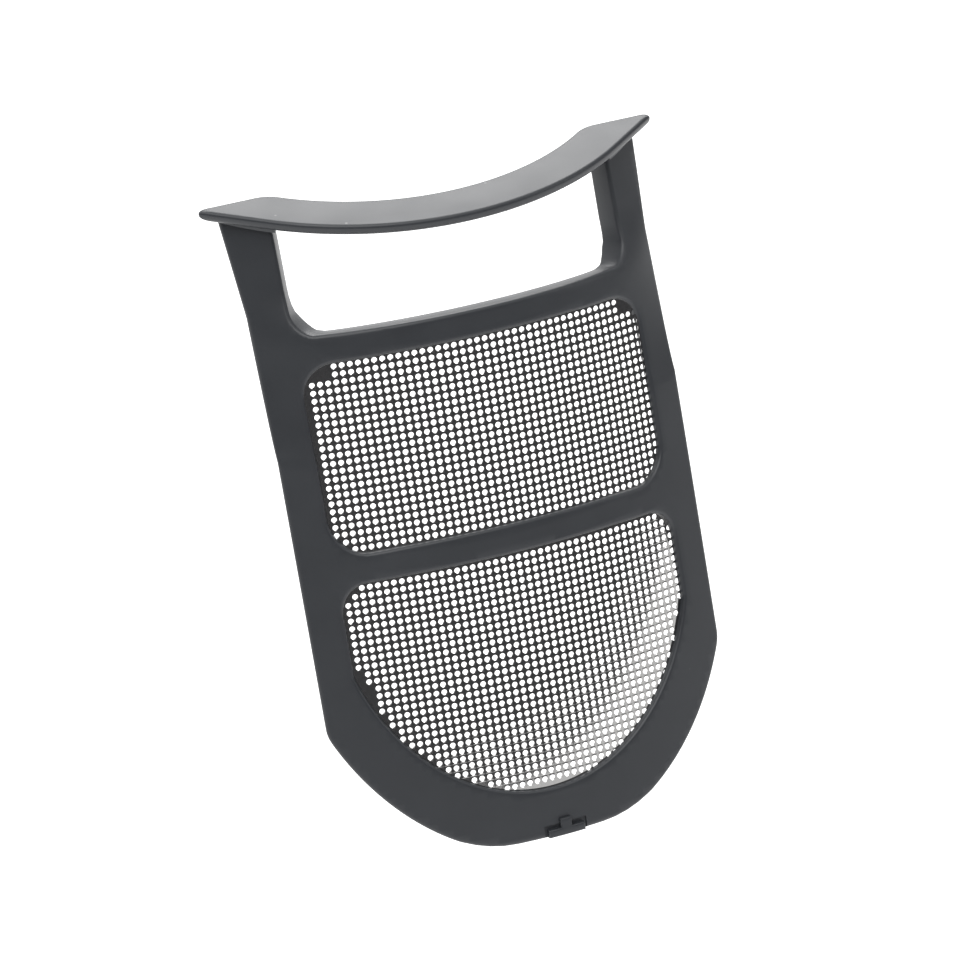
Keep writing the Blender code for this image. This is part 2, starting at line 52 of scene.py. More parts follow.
# The modelling's tolerances: lengths in millimetres, an angle in radians, an area, and decimals of a place
WELD = 0.0005
NEAR_PLANE = 0.001
SLIVER = 0.005
FLAT_ANGLE = 0.001
TINY = 1e-12
DECIMALS = 4

Point = tuple[float, float]
Corner = tuple[float, float, float]
Colour = tuple[float, float, float]
Tree = bpy.types.NodeTree
Socket = bpy.types.NodeSocket
Plug = float | tuple[float, ...] | Socket


class Operation(Enum):
    """What a second solid does to the first."""

    CUT = "DIFFERENCE"
    JOIN = "UNION"


class Axis(Enum):
    """An axis of the flat drawing that a mesh is divided along."""

    ACROSS = 0
    UP = 2


def deselect_all() -> None:
    """Leave every object unselected."""
    if bpy.context.object and bpy.context.object.mode != "OBJECT":
        bpy.ops.object.mode_set(mode="OBJECT")
    bpy.ops.object.select_all(action="DESELECT")


def pick(item: bpy.types.Object) -> None:
    """Select one object only and make it active.

    Args:
        item: The object to work on.
    """
    deselect_all()
    item.select_set(True)
    bpy.context.view_layer.objects.active = item


def edit(item: bpy.types.Object) -> None:
    """Open a mesh in edit mode with all of it selected.

    Args:
        item: The mesh object.
    """
    pick(item)
    bpy.ops.object.mode_set(mode="EDIT")
    bpy.ops.mesh.select_all(action="SELECT")


def close_edit() -> None:
    """Go back to object mode."""
    bpy.ops.object.mode_set(mode="OBJECT")


def select_faces(item: bpy.types.Object, wanted: Callable[[bpy.types.MeshPolygon], bool]) -> None:
    """Open a mesh in edit mode with some of its faces selected.

    Args:
        item: The mesh object.
        wanted: A test of a face.
    """
    edit(item)
    bpy.ops.mesh.select_mode(type="FACE")
    bpy.ops.mesh.select_all(action="DESELECT")
    close_edit()
    for face in item.data.polygons:
        face.select = wanted(face)
    bpy.ops.object.mode_set(mode="EDIT")


def modify(item: bpy.types.Object, kind: str, **settings: object) -> None:
    """Add a modifier to an object and apply it.

    Args:
        item: The object.
        kind: The modifier's type.
        settings: The modifier's own properties.
    """
    pick(item)
    modifier = item.modifiers.new(kind.lower(), kind)
    for name, value in settings.items():
        setattr(modifier, name, value)
    bpy.ops.object.modifier_apply(modifier=modifier.name)


def face_outward(item: bpy.types.Object) -> None:
    """Turn all the faces of a closed mesh outward.

    Args:
        item: The mesh object.
    """
    edit(item)
    bpy.ops.mesh.normals_make_consistent(inside=False)
    close_edit()


def clamped(value: float) -> float:
    """Return a value held between 0 and 1."""
    return min(1.0, max(0.0, value))


def combine(item: bpy.types.Object, operation: Operation, other: bpy.types.Object) -> None:
    """Cut one solid with another or join them, and apply the result.

    Args:
        item: The solid that is kept.
        operation: Whether the other solid cuts or joins.
        other: The solid that is used up.
    """
    modify(item, "BOOLEAN", operation=operation.value, object=other, solver="EXACT")
    bpy.data.objects.remove(other, do_unlink=True)


def place_vertices(item: bpy.types.Object, move: Callable[[Vector], Vector]) -> None:
    """Give every vertex of a mesh a new place.

    Args:
        item: The mesh object.
        move: A function from the old place to the new one.
    """
    for vertex in item.data.vertices:
        vertex.co = move(vertex.co)
    item.data.update()


def divide(item: bpy.types.Object, axis: Axis, spacing: float) -> None:
    """Cut a mesh into strips by bisecting it along planes square to one axis.

    Args:
        item: The mesh object, in millimetres.
        axis: The axis that the planes are square to.
        spacing: The width of a strip.
    """
    places = [vertex.co[axis.value] for vertex in item.data.vertices]
    normal = Vector((0.0, 0.0, 0.0))
    normal[axis.value] = 1.0
    edit(item)
    for step in range(math.ceil(min(places) / spacing), math.floor(max(places) / spacing) + 1):
        bpy.ops.mesh.select_all(action="SELECT")
        bpy.ops.mesh.bisect(plane_co=normal * step * spacing, plane_no=normal, threshold=NEAR_PLANE)
    close_edit()


def place_key(place: Vector) -> tuple[float, ...]:
    """Return a place rounded off, to look it up by."""
    return tuple(round(value, DECIMALS) for value in place)


def loft(name: str, rings: list[list[Vector]]) -> bpy.types.Object:
    """Extrude a filled outline through a list of rings.

    Args:
        name: The new object's name.
        rings: Outlines with the same number of points, from one cap to the other.

    Returns:
        A closed mesh object.
    """
    deselect_all()
    bpy.ops.mesh.primitive_circle_add(vertices=len(rings[0]), radius=1.0, fill_type="NGON")
    item = bpy.context.object
    item.name = name
    for vertex, place in zip(item.data.vertices, rings[0]):
        vertex.co = place
    for lower, upper in zip(rings, rings[1:]):
        places = {place_key(a): b for a, b in zip(lower, upper)}
        edit(item)
        if lower is not rings[0]:
            bpy.ops.mesh.select_all(action="DESELECT")
            close_edit()
            item.data.polygons[cap].select = True
            bpy.ops.object.mode_set(mode="EDIT")
        bpy.ops.mesh.extrude_region_move()
        close_edit()
        for vertex in item.data.vertices:
            if vertex.select:
                vertex.co = places[place_key(vertex.co)]
        cap = next(face.index for face in item.data.polygons if face.select)
    face_outward(item)
    return item


def slab(
    name: str, outlines: list[list[Point]], thickness: float, rim: float = 0.0, rim_steps: int = 0
) -> bpy.types.Object:
    """Fill a drawing with holes as a flat slab whose edges are rounded, centred on its own plane.

    Args:
        name: The new object's name.
        outlines: The outer outline first, and then the holes.
        thickness: The slab's thickness.
        rim: The radius of the rounded edges, or 0 for sharp ones.
        rim_steps: How many cuts divide the rounding.

    Returns:
        A closed mesh object that lies in the XY plane.
    """
    drawing = bpy.data.curves.new(name, "CURVE")
    drawing.dimensions = "2D"
    drawing.fill_mode = "BOTH"
    drawing.extrude = thickness / 2 - rim
    drawing.bevel_depth = rim
    drawing.bevel_resolution = rim_steps
    drawing.offset = -rim
    for number, outline in enumerate(outlines):
        area = sum(a[0] * b[1] - b[0] * a[1] for a, b in zip(outline, outline[1:] + outline[:1]))
        path = outline if (area > 0) == (number == 0) else outline[::-1]
        spline = drawing.splines.new("POLY")
        spline.points.add(len(path) - 1)
        for point, (x, y) in zip(spline.points, path):
            point.co = (x, y, 0.0, 1.0)
        spline.use_cyclic_u = True
    item = bpy.data.objects.new(name, drawing)
    bpy.context.collection.objects.link(item)
    pick(item)
    bpy.ops.object.convert(target="MESH")
    edit(item)
    bpy.ops.mesh.remove_doubles(threshold=WELD)
    bpy.ops.mesh.normals_make_consistent(inside=False)
    bpy.ops.mesh.dissolve_limited(angle_limit=FLAT_ANGLE)
    close_edit()
    return item


def stand_up(item: bpy.types.Object, front: float, thickness: float) -> bpy.types.Object:
    """Turn a flat slab to face the front, its face at a depth behind the frame's own.

    Args:
        item: A slab that lies in the XY plane.
        front: The depth of its front face.
        thickness: The slab's thickness.

    Returns:
        The same object.
    """
    place_vertices(item, lambda place: Vector((place.x, front + thickness / 2 - place.z, place.y)))
    return item


def nearest(place: Vector, start: Vector, end: Vector) -> Vector:
    """Return the point of a line between two ends that lies nearest to a place.

    Args:
        place: The place.
        start: The line's first end.
        end: Its other end.

    Returns:
        The nearest point.
    """
    line = end - start
    share = (place - start).dot(line) / max(line.length_squared, TINY)
    return start + line * clamped(share)


def encloses(outline: list[Vector], place: Vector) -> bool:
    """Tell whether a place lies inside an outline.

    Args:
        outline: The outline's points.
        place: The place.

    Returns:
        True where it lies inside.
    """
    inside = False
    for a, b in zip(outline, outline[1:] + outline[:1]):
        if (a.y > place.y) != (b.y > place.y):
            inside ^= place.x < a.x + (place.y - a.y) * (b.x - a.x) / (b.y - a.y)
    return inside


@dataclass(frozen=True)
class Drawing:
    """How finely outlines are drawn."""

    arc_step: float = 0.7
    corner_step: float = math.radians(7.0)

    def arc(self, centre: Point, radius: float, start: float, end: float, count: int = 0) -> list[Point]:
        """Return points on an arc.

        Args:
            centre: The arc's centre.
            radius: The arc's radius.
            start: The first angle, in radians.
            end: The last angle.
            count: The number of steps, or 0 to follow arc_step.

        Returns:
            The points, with both ends.
        """
        steps = count or max(2, math.ceil(abs(end - start) * radius / self.arc_step))
        angles = [start + (end - start) * step / steps for step in range(steps + 1)]
        return [(centre[0] + radius * math.cos(a), centre[1] + radius * math.sin(a)) for a in angles]

    @staticmethod
    def turn_at(corners: list[Corner], index: int) -> tuple[Vector, Vector, float]:
        """Return how an outline turns at a corner.

        Args:
            corners: The outline's corners.
            index: The corner's number.

        Returns:
            The directions to the corners before and after it, and the angle that the outline turns by.
        """
        corner = Vector(corners[index][:2])
        before = (Vector(corners[index - 1][:2]) - corner).normalized()
        after = (Vector(corners[(index + 1) % len(corners)][:2]) - corner).normalized()
        return before, after, math.pi - before.angle(after)

    def clear_of_fillets(self, corners: list[Corner]) -> list[Corner]:
        """Leave out the plain points that lie within reach of a fillet beside them.

        Args:
            corners: The outline's corners.

        Returns:
            The corners that are kept.
        """
        kept = list(corners)
        for corner in [each for each in corners if each[2] > 0.0]:
            covered = [corner]
            while covered:
                place = kept.index(corner)
                reach = corner[2] * math.tan(self.turn_at(kept, place)[2] / 2)
                beside = [each for each in (kept[place - 1], kept[(place + 1) % len(kept)]) if each[2] <= 0.0]
                covered = [each for each in beside if math.dist(each[:2], corner[:2]) < reach]
                kept = [each for each in kept if each not in covered]
        return kept

    def rounded(self, corners: list[Corner], count: int = 0) -> list[Point]:
        """Turn corners with radii into an outline of plain points.

        Args:
            corners: Each corner's x, y and radius.
            count: The number of steps in each fillet, or 0 to follow corner_step.

        Returns:
            The outline's points.
        """
        corners = self.clear_of_fillets(corners)
        outline: list[Point] = []
        for index, (x, y, radius) in enumerate(corners):
            before, after, turn = self.turn_at(corners, index)
            if radius <= 0.0 or turn < FLAT_ANGLE:
                outline.append((x, y))
                continue
            tangent = radius * math.tan(turn / 2)
            corner = Vector((x, y))
            start, end = corner + before * tangent, corner + after * tangent
            centre = corner + (before + after).normalized() * math.hypot(radius, tangent)
            steps = count or max(2, math.ceil(turn / self.corner_step))
            for step in range(steps + 1):
                share = step / steps
                near = math.sin(turn * (1 - share)) / math.sin(turn)
                far = math.sin(turn * share) / math.sin(turn)
                point = centre + (start - centre) * near + (end - centre) * far
                outline.append((point.x, point.y))
        return outline


@dataclass(frozen=True)
class SpoutCone:
    """The cone of the kettle's spout, and how the stiles roll back from it."""

    radius: float = 43.69
    half_angle: float = math.radians(21.75)
    axis_behind: float = 42.3
    roll: float = 0.0
    roll_start: float = 27.7
    roll_rise: float = 0.6
    spread: float = 5.0
    spread_at_plate: float = 0.7
    blend_from: float = 15.0
    blend_over: float = 6.0
    half_width: float = 26.7
    wall: float = 3.0
    wall_at_sill: float = 3.5
    wall_at_plate: float = 3.0
    sill: float = 11.8
    sill_run: float = 1.1
    row_rounds: int = 8

    def radius_at(self, height: float) -> float:
        """Return the radius of the frame's front face at a height."""
        return self.radius - height * math.tan(self.half_angle)

    def row_height(self, x: float, middle: float) -> float:
        """Return where a straight row of the unrolled cone passes x.

        Args:
            x: The place across the drawing.
            middle: The row's height in the middle.

        Returns:
            The height at x.
        """
        height = middle
        for _ in range(self.row_rounds):
            turn = math.asin(x / self.radius_at(height)) * math.sin(self.half_angle)
            height = (self.radius - self.radius_at(middle) / math.cos(turn)) / math.tan(self.half_angle)
        return height

    def row(self, x_from: float, x_to: float, middle: float, step: float) -> list[Corner]:
        """Return plain corners along one row, without its two ends.

        Args:
            x_from: Where it starts, across the drawing.
            x_to: Where it ends.
            middle: The row's height in the middle.
            step: The largest step across.

        Returns:
            The corners.
        """
        count = max(2, math.ceil(abs(x_to - x_from) / step))
        columns = [x_from + (x_to - x_from) * each / count for each in range(1, count)]
        return [(x, self.row_height(x, middle), 0.0) for x in columns]

    def roll_back(self, x: float, height: float) -> float:
        """Return how far the frame's face lies back of the cone.

        Args:
            x: The place across the drawing.
            height: The height.

        Returns:
            The distance back.
        """
        rise = max(0.0, (height + self.roll_start) / self.roll_start)
        blend = clamped((height + self.blend_from) / self.blend_over)
        blend = blend * blend * (3.0 - 2.0 * blend)
        spread = self.spread + (self.spread_at_plate - self.spread) * blend
        return self.roll * rise**self.roll_rise * abs(x / self.half_width) ** spread

    def wrap(self, place: Vector) -> Vector:
        """Wrap a point of the flat drawing on to the cone.

        Args:
            place: The place across, the depth behind the front face, and the height.

        Returns:
            The place in the kettle, in millimetres.
        """
        x, depth, height = place
        front = self.radius_at(height)
        angle = math.asin(x / front)
        head = max(0.0, 1.0 + height / self.sill)
        thick = self.wall_at_sill + (self.wall_at_plate - self.wall_at_sill) * head
        grown = clamped((height + self.sill + self.sill_run) / self.sill_run)
        depth *= 1.0 + grown * (thick / self.wall - 1.0)
        radius = front - depth * math.cos(self.half_angle)
        y = self.axis_behind - radius * math.cos(angle) + self.roll_back(x, height)
        return Vector((radius * math.sin(angle), y, height - depth * math.sin(self.half_angle)))

    def flattened(self, x: float, height: float) -> Point:
        """Unroll a place of the drawing.

        Args:
            x: The place across the drawing.
            height: The height.

        Returns:
            The place across the flat sheet, and down it from the level of the plate's top.
        """
        radius = self.radius_at(height)
        slant = radius / math.sin(self.half_angle)
        turn = math.asin(x / radius) * math.sin(self.half_angle)
        return slant * math.sin(turn), slant * math.cos(turn) - self.radius / math.sin(self.half_angle)

    def unrolled(self, u: float, v: float, depth: float) -> Vector:
        """Roll a point of the flat sheet up to the cone, without the stiles' roll.

        Args:
            u: The place across the flat sheet.
            v: The place down the sheet, from the level of the plate's top along the slant.
            depth: How far behind the frame's front face it lies.

        Returns:
            The place in the kettle, in millimetres.
        """
        base = self.radius - depth / math.cos(self.half_angle)
        slant = base / math.sin(self.half_angle) + v
        reach = math.hypot(u, slant)
        angle = math.atan2(u, slant) / math.sin(self.half_angle)
        radius = reach * math.sin(self.half_angle)
        height = (base - radius) / math.tan(self.half_angle)
        return Vector((radius * math.sin(angle), self.axis_behind - radius * math.cos(angle), height))


def plug_in(tree: Tree, node: bpy.types.Node, plugs: dict[str | int, Plug]) -> None:
    """Set or link some of a node's inputs.

    Args:
        tree: The node tree of a material or a world.
        node: One of its nodes.
        plugs: For each input, a constant or another node's output.
    """
    for name, value in plugs.items():
        if isinstance(value, Socket):
            tree.links.new(value, node.inputs[name])
        else:
            node.inputs[name].default_value = value


def add_node(tree: Tree, kind: str, plugs: dict[str | int, Plug], **settings: str) -> bpy.types.Node:
    """Add a node, and set or link its inputs.

    Args:
        tree: The node tree of a material or a world.
        kind: The node's type, without the word ShaderNode.
        plugs: For each input, a constant or another node's output.
        settings: The node's own properties.

    Returns:
        The new node.
    """
    node = tree.nodes.new("ShaderNode" + kind)
    for name, value in settings.items():
        setattr(node, name, value)
    plug_in(tree, node, plugs)
    return node


def larger(tree: Tree, first: Plug, second: Plug) -> Socket:
    """Return the larger of two values, as a node's output."""
    return add_node(tree, "Math", {0: first, 1: second}, operation="MAXIMUM").outputs["Value"]


def mixed(tree: Tree, share: Plug, none: Plug, full: Plug) -> Socket:
    """Return a mix of two colours, as a node's output."""
    return add_node(tree, "Mix", {"Factor": share, "A": none, "B": full}, data_type="RGBA").outputs["Result"]


def spread(tree: Tree, share: Plug, middle: float, reach: float) -> Socket:
    """Return a value spread about its middle by a share from 0 to 1, as a node's output."""
    plugs = {"To Min": middle - reach, "To Max": middle + reach, "Value": share}
    return add_node(tree, "MapRange", plugs).outputs["Result"]


def noise(tree: Tree, place: Plug, scale: float, detail: float) -> Socket:
    """Return a noise from 0 to 1, as a node's output."""
    return add_node(tree, "TexNoise", {"Vector": place, "Scale": scale, "Detail": detail}).outputs["Fac"]


def new_material(name: str, plugs: dict[str | int, Plug]) -> bpy.types.Material:
    """Return a new node material.

    Args:
        name: The material's name.
        plugs: Constants for some of its shader's inputs.

    Returns:
        The material, with its Principled BSDF.
    """
    material = bpy.data.materials.new(name)
    material.use_nodes = True
    plug_in(material.node_tree, material.node_tree.nodes["Principled BSDF"], plugs)
    return material


@dataclass(frozen=True)
class SatinPlastic:
    """Dark moulded plastic with a fine eroded grain and a few light specks."""

    name: str = "dark_grey_plastic"
    colour: Colour = (0.026, 0.0285, 0.033)
    light_colour: Colour = (0.032, 0.035, 0.0405)
    speck_colour: Colour = (0.16, 0.165, 0.17)
    index: float = 1.5
    roughness: float = 0.40
    roughness_spread: float = 0.06
    cloud_scale: float = 160.0
    cloud_detail: float = 4.0
    speck_scale: float = 420.0
    speck_reach: tuple[float, float] = (0.10, 0.03)
    speck_choice: tuple[float, float] = (0.90, 0.94)
    grain_size: float = 0.00012
    grain_detail: float = 2.0
    grain_height: float = 0.000004
    grain_strength: float = 0.5

    def specks(self, tree: Tree, place: Plug) -> Socket:
        """Scatter light specks: the core of a few cells only.

        Args:
            tree: The material's node tree.
            place: The place on the object.

        Returns:
            How much of a speck lies there, from 0 to 1.
        """
        cells = add_node(tree, "TexVoronoi", {"Vector": place, "Scale": self.speck_scale})
        far, near = self.speck_reach
        away = cells.outputs["Distance"]
        core = add_node(tree, "MapRange", {"From Min": far, "From Max": near, "Value": away})
        chance = add_node(tree, "SeparateColor", {"Color": cells.outputs["Color"]}).outputs["Red"]
        none, full = self.speck_choice
        few = add_node(tree, "MapRange", {"From Min": none, "From Max": full, "Value": chance})
        both = {0: core.outputs["Result"], 1: few.outputs["Result"]}
        return add_node(tree, "Math", both, operation="MULTIPLY").outputs["Value"]

    def material(self) -> bpy.types.Material:
        """Make the finish.

        Returns:
            The node material.
        """
        material = new_material(self.name, {"Roughness": self.roughness, "IOR": self.index})
        tree = material.node_tree
        place = add_node(tree, "TexCoord", {}).outputs["Object"]
        cloud = noise(tree, place, self.cloud_scale, self.cloud_detail)
        tone = mixed(tree, cloud, (*self.colour, 1.0), (*self.light_colour, 1.0))
        grain = noise(tree, place, 1.0 / self.grain_size, self.grain_detail)
        bump = {"Strength": self.grain_strength, "Distance": self.grain_height, "Height": grain}
        plugs = {
            "Base Color": mixed(tree, self.specks(tree, place), tone, (*self.speck_colour, 1.0)),
            "Roughness": spread(tree, cloud, self.roughness, self.roughness_spread),
            "Normal": add_node(tree, "Bump", bump).outputs["Normal"],
        }
        plug_in(tree, tree.nodes["Principled BSDF"], plugs)
        return material


@dataclass(frozen=True)
class SheetSteel:
    """Thin rolled stainless steel, with faint rolling lines down the sheet."""

    name: str = "perforated_steel"
    colour: Colour = (0.51, 0.505, 0.50)
    dull_colour: Colour = (0.43, 0.425, 0.42)
    roughness: float = 0.035
    roughness_spread: float = 0.006
    line_stretch: tuple[float, float, float] = (1.0, 0.1, 0.05)
    line_scale: float = 9000.0
    line_detail: float = 2.0
    cloud_scale: float = 120.0
    cloud_detail: float = 3.0

    def material(self) -> bpy.types.Material:
        """Make the finish.

        Returns:
            The node material.
        """
        material = new_material(self.name, {"Metallic": 1.0})
        tree = material.node_tree
        place = add_node(tree, "TexCoord", {}).outputs["Object"]
        stretched = add_node(tree, "Mapping", {"Vector": place, "Scale": self.line_stretch}).outputs["Vector"]
        lines = noise(tree, stretched, self.line_scale, self.line_detail)
        cloud = noise(tree, place, self.cloud_scale, self.cloud_detail)
        plugs = {
            "Base Color": mixed(tree, lines, (*self.dull_colour, 1.0), (*self.colour, 1.0)),
            "Roughness": spread(tree, cloud, self.roughness, self.roughness_spread),
        }
        plug_in(tree, tree.nodes["Principled BSDF"], plugs)
        return material


@dataclass
class FingerPlate:
    """The flat crescent plate that a finger lifts the filter by."""

    drawing: Drawing
    half_width_at_plate: float
    thickness: float = 1.55
    top_round: float = 0.5
    under_round: float = 0.85
    front_radius: float = 37.5
    front_reach: float = 3.05
    band: float = 6.2
    cut_radius: float = 31.9
    tip_reach: float = 3.0
    run_out: float = 7.79
    tip_round: float = 0.5
    corner_round: float = 4.5
    corner_margin: float = 0.3
    seat_step: float = 0.35
    seat_inset: float = 0.55
    rim_steps: int = 7
    corner_steps: int = 10

    def __post_init__(self) -> None:
        """Work out the places that follow from the sizes."""
        self.front_centre = self.front_radius - self.front_reach
        self.cut_centre = self.band - self.front_reach + self.cut_radius
        self.tip = self.half_width_at_plate + self.tip_reach
        self.turn = math.asin((self.tip - self.run_out) / self.front_radius)
        level = self.front_centre - self.front_radius * math.cos(self.turn)
        self.back = level + self.run_out * math.tan(self.turn)

    def outline(self, inset: float) -> list[Point]:
        """Draw the plate in plan, always with the same number of points.

        Args:
            inset: How far the outline is drawn in.

        Returns:
            The outline's points.
        """
        low, high = -math.pi / 2 - self.turn, -math.pi / 2 + self.turn
        front_count = math.ceil(2 * self.turn * self.front_radius / self.drawing.arc_step)
        front = self.drawing.arc((0.0, self.front_centre), self.front_radius - inset, low, high, front_count)
        back = self.back - inset
        tip_x = front[-1][0] + (back - front[-1][1]) / math.tan(self.turn)
        cut_radius = self.cut_radius + inset
        half = math.acos((self.cut_centre - back) / cut_radius)
        corner_x = cut_radius * math.sin(half)
        clear = half - (self.corner_round * math.tan(half / 2) + self.corner_margin) / cut_radius
        ends = -math.pi / 2 + clear, -math.pi / 2 - clear
        cut = self.drawing.arc((0.0, self.cut_centre), cut_radius, *ends, front_count)
        corners = [(x, y, 0.0) for x, y in front]
        corners += [(tip_x, back, self.tip_round), (corner_x, back, self.corner_round)]
        corners += [(x, y, 0.0) for x, y in cut]
        corners += [(-corner_x, back, self.corner_round), (-tip_x, back, self.tip_round)]
        return self.drawing.rounded(corners, self.corner_steps)

    def rim(self) -> list[Point]:
        """Round the plate's rim off.

        Returns:
            The inset and height of each ring round it, from the top to the underside.
        """
        over, under = self.top_round, self.under_round
        turns = [math.pi / 2 * step / self.rim_steps for step in range(self.rim_steps + 1)]
        rings = [(over * (1 - math.sin(turn)), -over * (1 - math.cos(turn))) for turn in turns]
        low = -self.thickness
        rings += [(under * (1 - math.cos(turn)), low + under * (1 - math.sin(turn))) for turn in turns]
        return rings

    def build(self) -> bpy.types.Object:
        """Return the plate as a loft through its rim's rings."""
        rings = [[Vector((x, y, height)) for x, y in self.outline(inset)] for inset, height in self.rim()]
        return loft("finger_plate", rings)

    def seat(self, side: int, inner: float) -> bpy.types.Object:
        """Return the thin step under one end of the plate, over a stile.

        Args:
            side: 1 for the right end, -1 for the left.
            inner: Where the step starts, from the middle.

        Returns:
            The step as a closed mesh.
        """
        radius = self.front_radius - self.seat_inset
        back = self.back - self.seat_inset
        start = -math.acos(inner / radius)
        end = -math.asin((self.front_centre - back) / radius)
        outline = self.drawing.arc((0.0, self.front_centre), radius, start, end) + [(inner, back)]
        low = -self.thickness - self.seat_step
        rings = [[Vector((side * x, y, z)) for x, y in outline] for z in (low, -self.thickness / 2)]
        return loft("plate_seat", rings)


@dataclass
class SnapCatch:
    """The small T-shaped catch in its pocket at the foot."""

    offset: float = 0.65
    width: float = 4.9
    height: float = 0.95
    proud: float = 0.5
    rim: float = 0.16
    rim_steps: int = 2
    stem_width: float = 1.5
    stem_height: float = 1.1
    pocket_gap: float = 0.4
    pocket_depth: float = 0.25
    pocket_above: float = 0.5

    def pocket(self, foot: float, wall: float) -> bpy.types.Object:
        """Return the solid that cuts the pocket, open at the foot's lower edge.

        Args:
            foot: The depth of the foot's lower edge.
            wall: The frame's thickness.

        Returns:
            The solid, flat in the drawing.
        """
        half = self.width / 2 + self.pocket_gap
        low, high = -foot - wall, -foot + self.height + self.pocket_above
        left, right = self.offset - half, self.offset + half
        outline = [(left, low), (right, low), (right, high), (left, high)]
        thickness = self.pocket_depth + wall
        return stand_up(slab("pocket", [outline], thickness), -wall, thickness)

    def build(self, foot: float, overlap: float) -> bpy.types.Object:
        """Return the catch, a bar on a short stem.

        Args:
            foot: The depth of the foot's lower edge.
            overlap: How far the catch reaches into the pocket's floor.

        Returns:
            The catch, flat in the drawing.
        """
        bar, stem = self.width / 2, self.stem_width / 2
        low = -foot
        bar_top = low + self.height
        top = bar_top + self.stem_height
        shape = [(-bar, low), (bar, low), (bar, bar_top), (stem, bar_top), (stem, top)]
        shape += [(-stem, top), (-stem, bar_top), (-bar, bar_top)]
        thickness = self.proud + self.pocket_depth + overlap
        outline = [(self.offset + x, y) for x, y in shape]
        flat = slab("catch", [outline], thickness, self.rim, self.rim_steps)
        return stand_up(flat, -self.proud, thickness)


@dataclass
class MouldedFrame:
    """The moulded frame: stiles, bars, foot, snap catch and finger plate in one piece."""

    cone: SpoutCone = field(default_factory=SpoutCone)
    drawing: Drawing = field(default_factory=Drawing)
    catch: SnapCatch = field(default_factory=SnapCatch)
    finish: SatinPlastic = field(default_factory=SatinPlastic)
    edge_round: float = 0.42
    edge_steps: int = 3
    flare: float = 1.1
    flare_height: float = 12.5
    stile_at_opening: float = 4.65
    stile_under_plate: float = 1.9
    sill_round: float = 1.9
    sill_round_behind: float = 3.8
    corner_fade: float = 1.0
    stile_at_window: float = 4.35
    top_bar: float = 3.2
    upper_height: float = 22.4
    cross_bar: float = 3.45
    lower_height: float = 28.65
    foot_band: float = 5.85
    window_top_round: float = 5.0
    window_round: float = 4.0
    window_arc_extra: float = 1.1
    foot_arc_extra: float = 2.95
    foot_flat_half: float = 9.45
    foot_side_round: float = 3.5
    foot_flat_round: float = 18.0
    stile_in_plate: float = 0.7
    head_slope: float = math.radians(50.0)
    recess_lap: float = 2.3
    recess_round: float = 5.5
    recess_depth: float = 0.95
    facet: float = 0.9
    smooth_angle: float = math.radians(32.0)

    def __post_init__(self) -> None:
        """Work out the places that follow from the sizes."""
        self.opening_half = self.cone.half_width - self.stile_at_opening
        self.window_half = self.cone.half_width - self.stile_at_window
        self.upper_top = self.cone.sill + self.top_bar
        self.upper_bottom = self.upper_top + self.upper_height
        self.lower_top = self.upper_bottom + self.cross_bar
        self.lower_bottom = self.lower_top + self.lower_height
        self.lower_radius = self.window_half + self.window_arc_extra
        self.lower_centre = self.lower_bottom - self.lower_radius
        self.foot = self.lower_bottom + self.foot_band
        self.foot_radius = self.cone.half_width + self.foot_arc_extra
        self.foot_centre = self.foot - math.sqrt(self.foot_radius**2 - self.foot_flat_half**2)
        self.plate = FingerPlate(self.drawing, self.cone.half_width + self.flare)
        middle = (self.opening_half + self.cone.half_width) / 2
        on_cone = self.cone.axis_behind - math.sqrt(self.cone.radius**2 - middle**2)
        share = (middle / self.cone.half_width) ** self.cone.spread_at_plate
        self.cone = replace(self.cone, roll=(self.plate.back - self.stile_under_plate - on_cone) / share)

    def level(self, x: float, middle: float, radius: float = 0.0) -> Corner:
        """Return a corner on a row of the unrolled cone."""
        return x, self.cone.row_height(x, middle), radius

    def level_edge(self, start: float, middle: float, radius: float) -> list[Corner]:
        """Return an edge along a row of the unrolled cone, rounded at both ends.

        Args:
            start: Where it starts, across the drawing. It ends as far from the middle on the other side.
            middle: The row's height in the middle.
            radius: The radius of its ends.

        Returns:
            The edge's corners.
        """
        inner = start - math.copysign(2 * radius, start)
        edge = [self.level(start, middle, radius), self.level(inner, middle)]
        edge += self.cone.row(inner, -inner, middle, self.drawing.arc_step)
        return edge + [self.level(-inner, middle), self.level(-start, middle, radius)]

    def outline(self) -> list[Point]:
        """Draw the outer outline, with the finger opening as a notch between the stiles.

        Returns:
            The outline's points.
        """
        half, top = self.cone.half_width, -self.stile_in_plate
        side_drop = math.sqrt(self.foot_radius**2 - half**2)
        start = math.atan2(self.foot_centre - self.foot, self.foot_flat_half)
        end = math.atan2(-side_drop, half)
        foot = self.drawing.arc((0.0, -self.foot_centre), self.foot_radius, start, end)
        right: list[Corner] = [(*foot[0], self.foot_flat_round)]
        right += [(x, y, 0.0) for x, y in foot[1:-1]]
        right += [(*foot[-1], self.foot_side_round), (half, -self.flare_height, 0.0)]
        right += [(half + self.flare + self.flare / self.flare_height * top, top, 0.0)]
        right.append((self.opening_half, top, 0.0))
        right.append(self.level(self.opening_half, -self.cone.sill, self.sill_round))
        end_x = self.opening_half - 2 * self.sill_round
        sill = [self.level(end_x, -self.cone.sill)]
        sill += self.cone.row(end_x, -end_x, -self.cone.sill, self.drawing.arc_step)
        sill += [self.level(-end_x, -self.cone.sill)]
        left = [(-x, y, radius) for x, y, radius in reversed(right)]
        return self.drawing.rounded(right + sill + left)

    def upper_window(self) -> list[Point]:
        """Draw the upper window, level with the sheet's rows of holes.

        Returns:
            The outline's points.
        """
        top = self.level_edge(self.window_half, -self.upper_top, self.window_top_round)
        bottom = self.level_edge(-self.window_half, -self.upper_bottom, self.window_round)
        return self.drawing.rounded(top + bottom)

